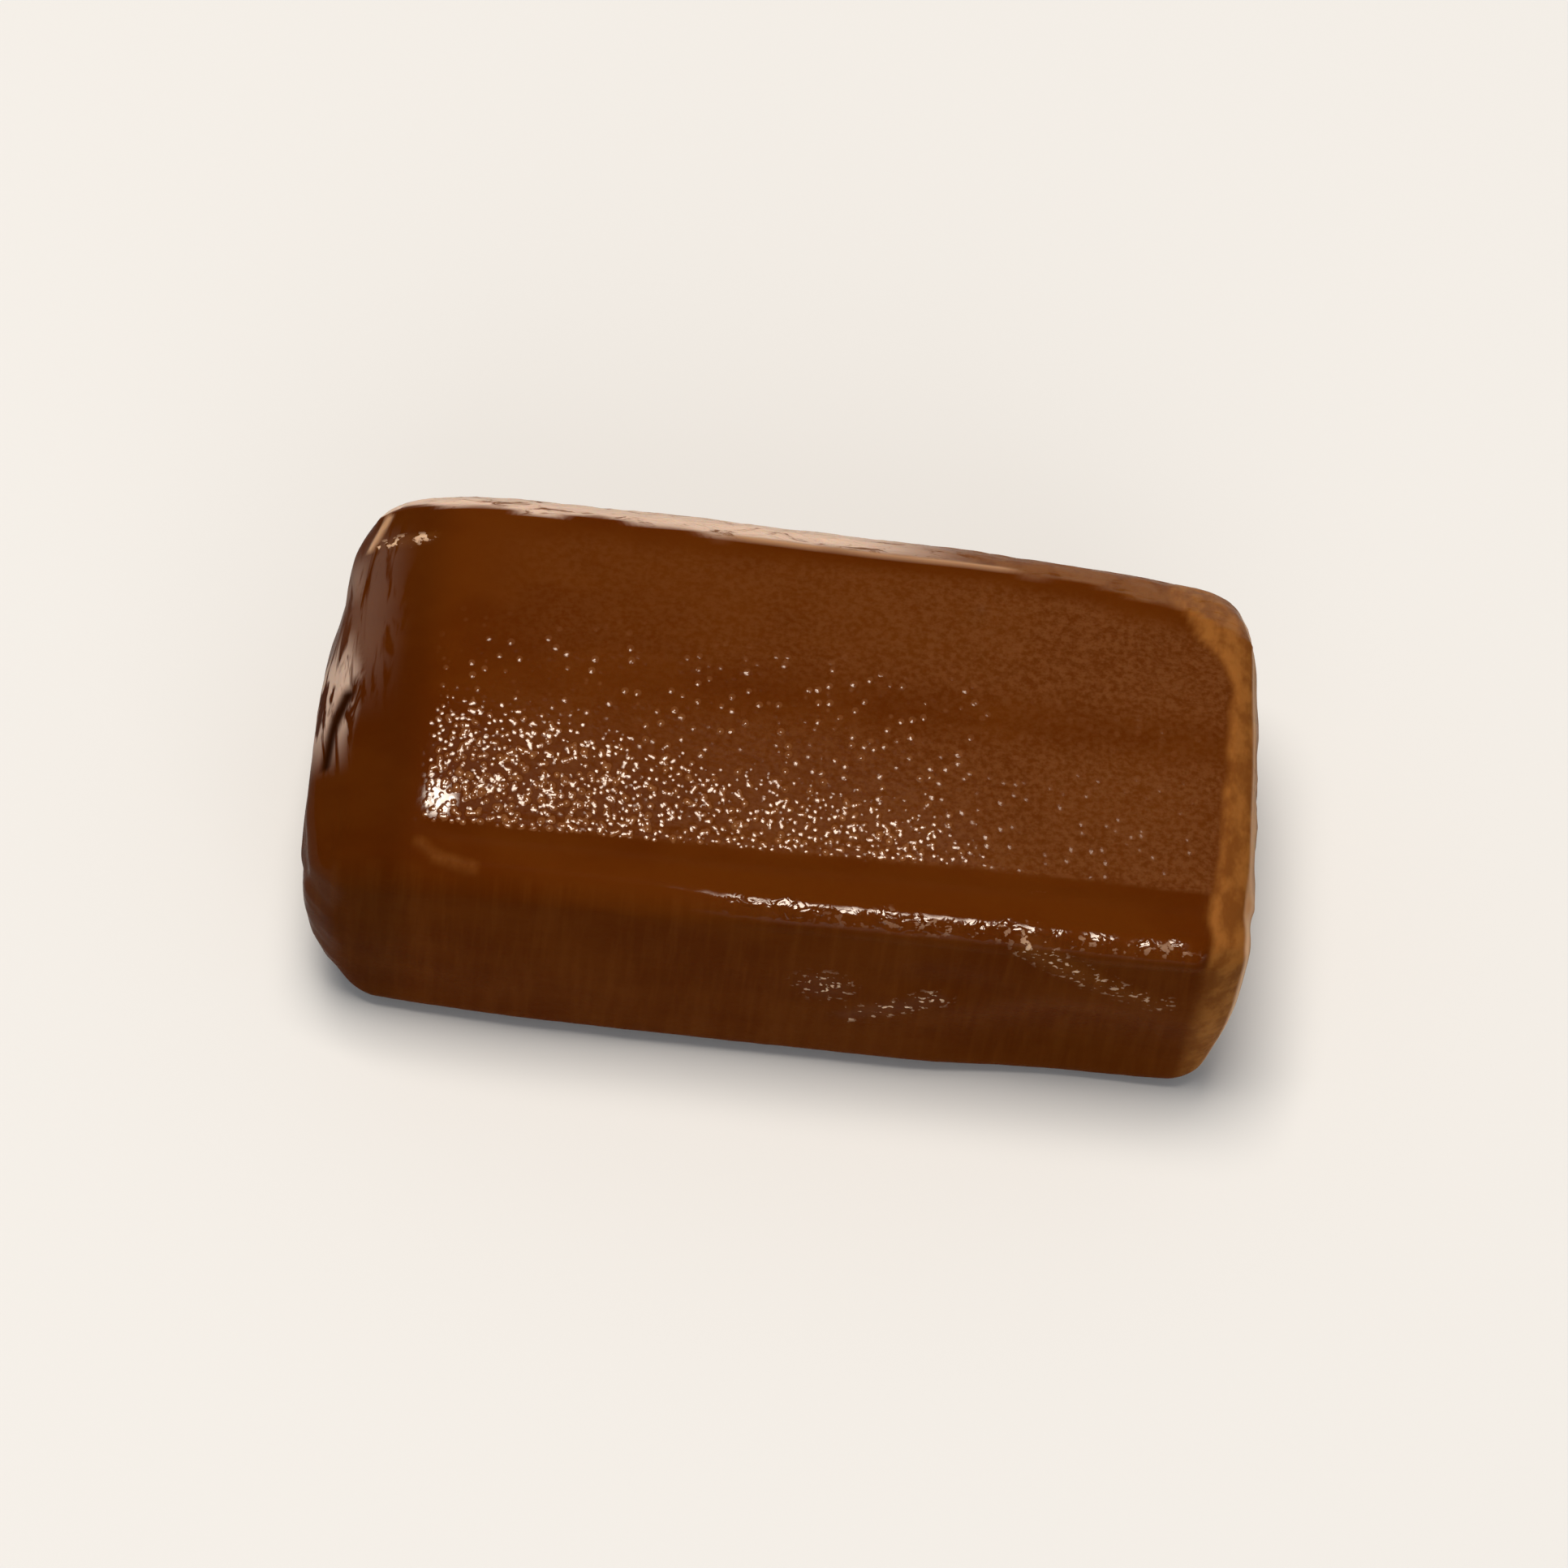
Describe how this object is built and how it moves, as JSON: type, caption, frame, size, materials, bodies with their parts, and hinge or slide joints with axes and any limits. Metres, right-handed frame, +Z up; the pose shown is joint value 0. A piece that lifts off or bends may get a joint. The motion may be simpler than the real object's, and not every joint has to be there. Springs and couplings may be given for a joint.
{
  "type": "caramel candy",
  "caption": "Unwrapped soft caramel candy: a rounded chewy bar with a pressed top, a fluted front edge and crumpled cut ends.",
  "frame": {"origin": "middle of the bar's box at its flat underside", "axes": "+X along the bar, +Y towards its back, +Z up from the underside"},
  "size_m": [0.0358, 0.0172, 0.0134],
  "materials": {
    "caramel": "soft gloss, finely grained"
  },
  "bodies": {
    "root": {"caramel": "caramel"}
  },
  "joints": []
}
